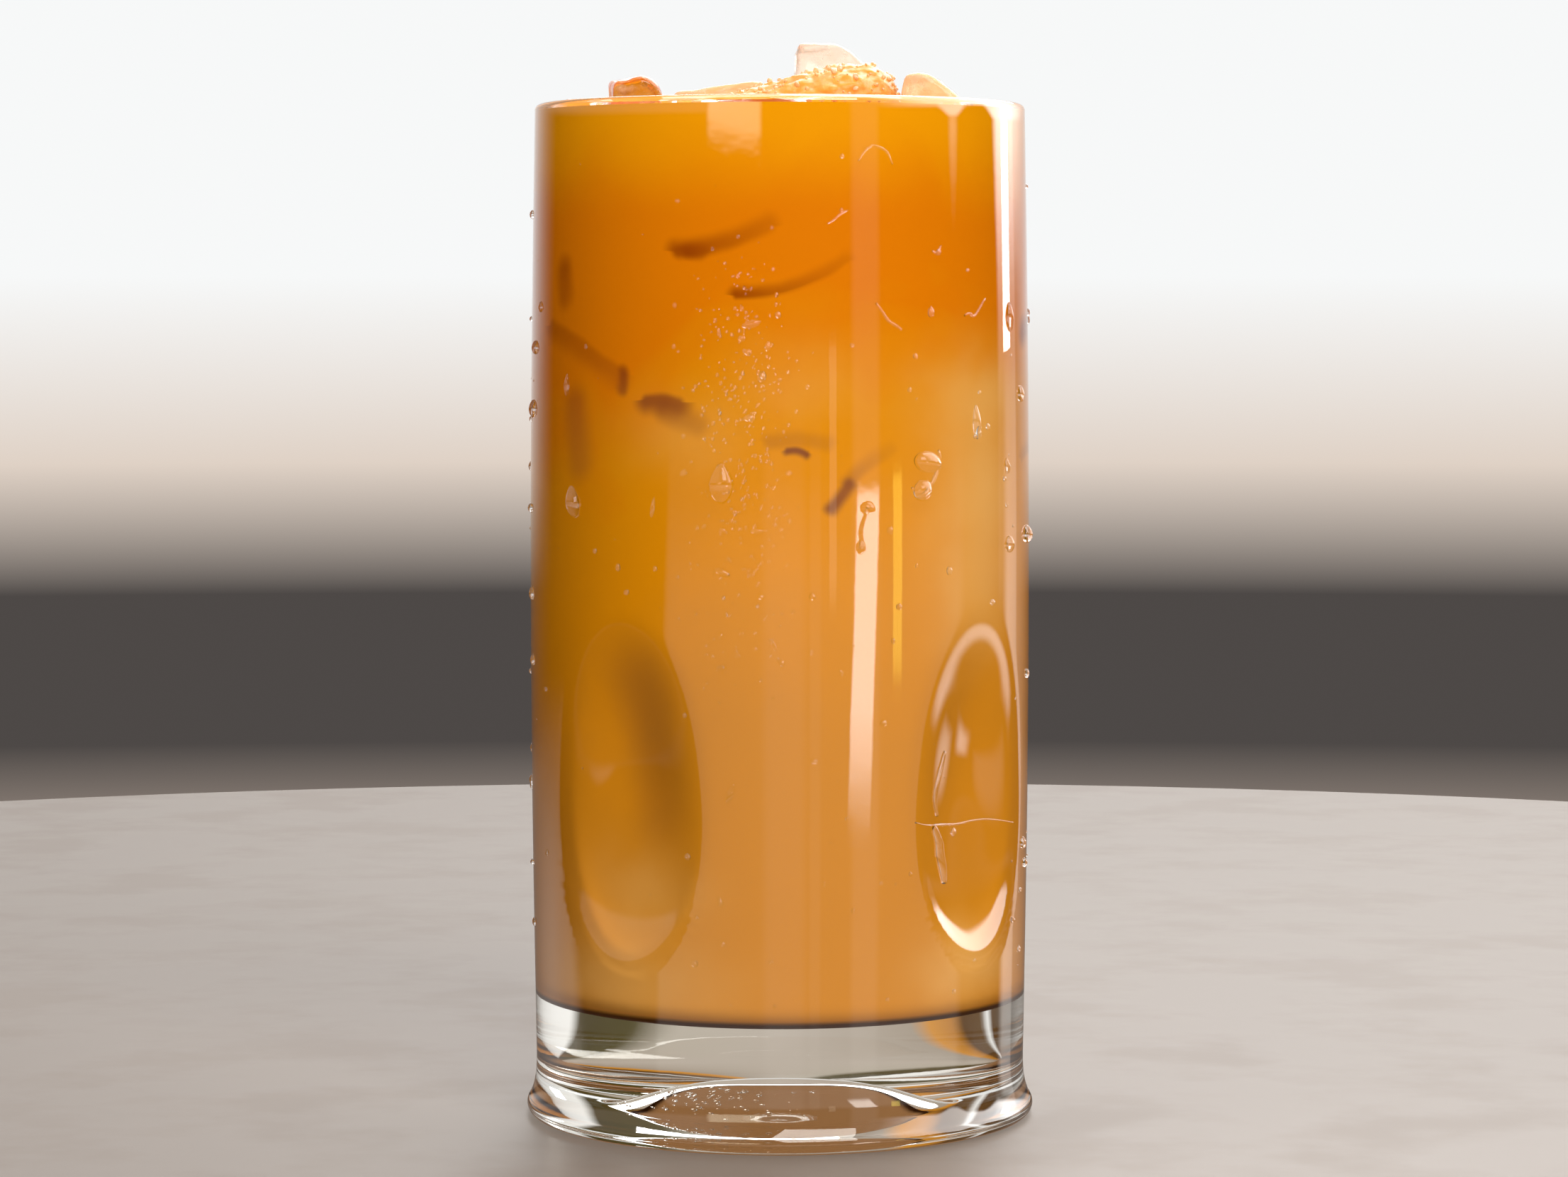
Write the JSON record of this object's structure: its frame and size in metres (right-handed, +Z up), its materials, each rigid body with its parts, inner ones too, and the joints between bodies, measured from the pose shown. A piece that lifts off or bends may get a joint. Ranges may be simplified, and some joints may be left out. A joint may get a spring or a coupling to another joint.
{
  "type": "thai milk tea",
  "caption": "Iced orange milk tea in a tall round glass tumbler with a thick base and thumb dimples, filled to the rim, with pieces of ice standing out of the top.",
  "frame": {"origin": "centre of the tumbler's foot, on the surface it stands on", "axes": "+Z up along the tumbler's axis; the side shown in the picture faces -Y"},
  "size_m": [0.0732, 0.0732, 0.1546],
  "materials": {
    "clear_glass": "smooth clear glass",
    "milk_tea": "opaque milky tea, deep orange above and paler below",
    "clear_ice": "wet clear ice tinted by the tea",
    "crusty_ice": "rough crushed ice soaked with tea"
  },
  "bodies": {
    "root": {"glass": "clear_glass", "drink": "milk_tea", "ice_left": "clear_ice", "ice_slab": "clear_ice", "ice_right": "clear_ice", "ice_wedge": "clear_ice", "ice_chip": "clear_ice", "ice_back_left": "clear_ice", "ice_back_right": "clear_ice", "ice_back": "clear_ice", "ice_front": "clear_ice", "ice_mound": "crusty_ice"}
  },
  "joints": []
}
